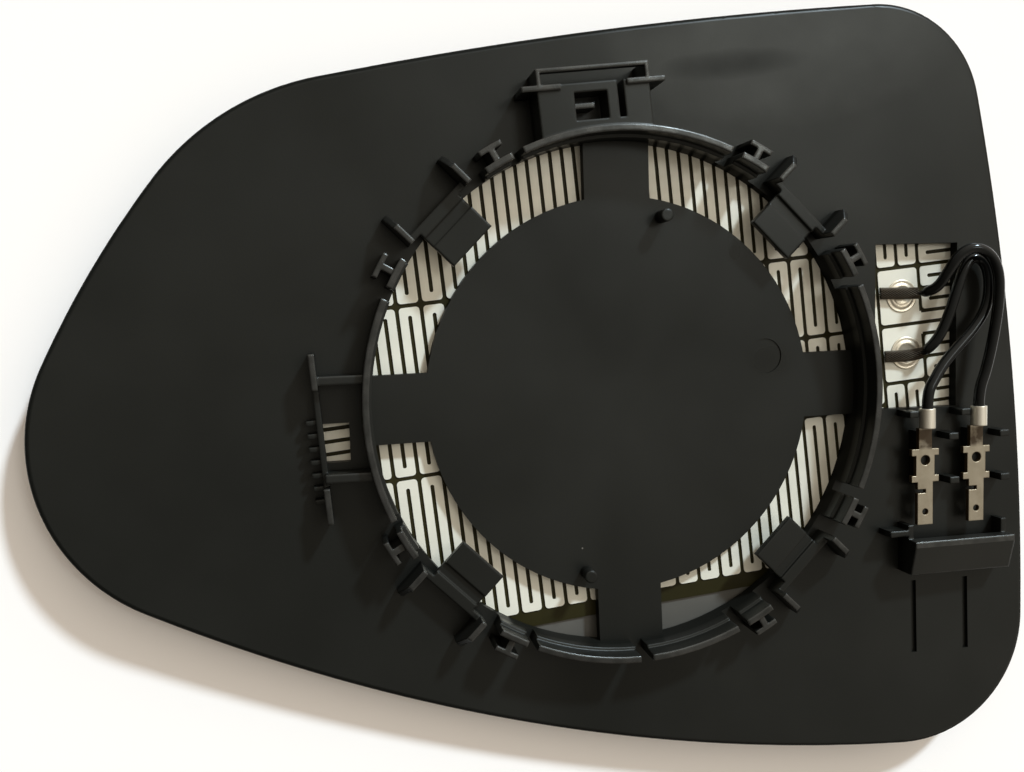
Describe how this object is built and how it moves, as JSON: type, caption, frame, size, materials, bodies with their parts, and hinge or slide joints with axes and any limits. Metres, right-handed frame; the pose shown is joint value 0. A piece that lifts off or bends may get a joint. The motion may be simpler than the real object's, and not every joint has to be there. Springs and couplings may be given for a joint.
{
  "type": "car door mirror glass",
  "caption": "Heated convex door mirror glass on a moulded backing plate, with an actuator ring, spring clips, looped heater leads and blade terminals.",
  "frame": {"origin": "on the axis of the actuator ring, at the seat step inside it", "axes": "+Z out of the back along the ring's axis, +X along the heater's rows towards the terminals, +Y up the glass"},
  "size_m": [0.1594, 0.1255, 0.0114],
  "materials": {
    "mirror": "silvered convex glass, bare and glossy",
    "film": "dark olive heater film",
    "foil": "bright etched foil, satin",
    "moulding": "black moulded plastic, finely grained",
    "joint_metal": "tinned pressed metal",
    "lead_sleeve": "black extruded sleeve, slightly glossy",
    "terminal_metal": "tinned stamped sheet"
  },
  "bodies": {
    "root": {"mirror_glass": "mirror", "heater_film": "film", "heater_track": "foil", "backing_plate": "moulding", "contact_upper": "joint_metal", "contact_lower": "joint_metal", "lead_upper": "lead_sleeve", "lead_lower": "lead_sleeve", "blade_terminal_left": "terminal_metal", "blade_terminal_right": "terminal_metal"}
  },
  "joints": []
}
